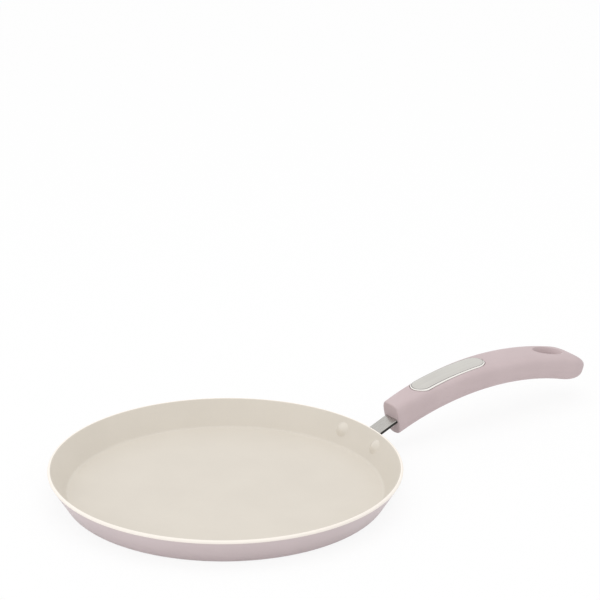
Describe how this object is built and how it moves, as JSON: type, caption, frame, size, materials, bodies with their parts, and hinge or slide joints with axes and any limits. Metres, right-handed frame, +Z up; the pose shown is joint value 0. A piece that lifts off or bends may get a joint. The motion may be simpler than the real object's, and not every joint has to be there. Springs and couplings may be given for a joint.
{
  "type": "round griddle pan",
  "caption": "Shallow round griddle for crepes: flared coated pan, riveted steel bracket and an arched soft-touch handle with an inlay and a hanging hole.",
  "frame": {"origin": "centre of the pan's flat underside, on the surface that it stands on", "axes": "+Z up, +X from the pan's centre out along the handle, +Y to the left of the handle seen from the pan"},
  "size_m": [0.4456, 0.25, 0.0478],
  "materials": {
    "bare_aluminium": "turned bare metal",
    "cream_ceramic": "satin ceramic coat, cream",
    "pink_enamel": "satin dusty pink coat",
    "bracket_steel": "polished stainless sheet",
    "rivet_cream": "domed head with the lining's cream coat",
    "soft_touch_pink": "soft-touch dusty pink moulding",
    "inlay_steel": "satin stainless plate, bevelled edge",
    "screw_steel": "zinc plated"
  },
  "bodies": {
    "root": {"pan_body": "bare_aluminium", "ceramic_lining": "cream_ceramic", "outer_enamel": "pink_enamel", "handle_bracket": "bracket_steel", "rivet_left": "rivet_cream", "rivet_right": "rivet_cream", "handle_grip": "soft_touch_pink", "handle_inlay": "inlay_steel", "handle_screw": "screw_steel"}
  },
  "joints": []
}
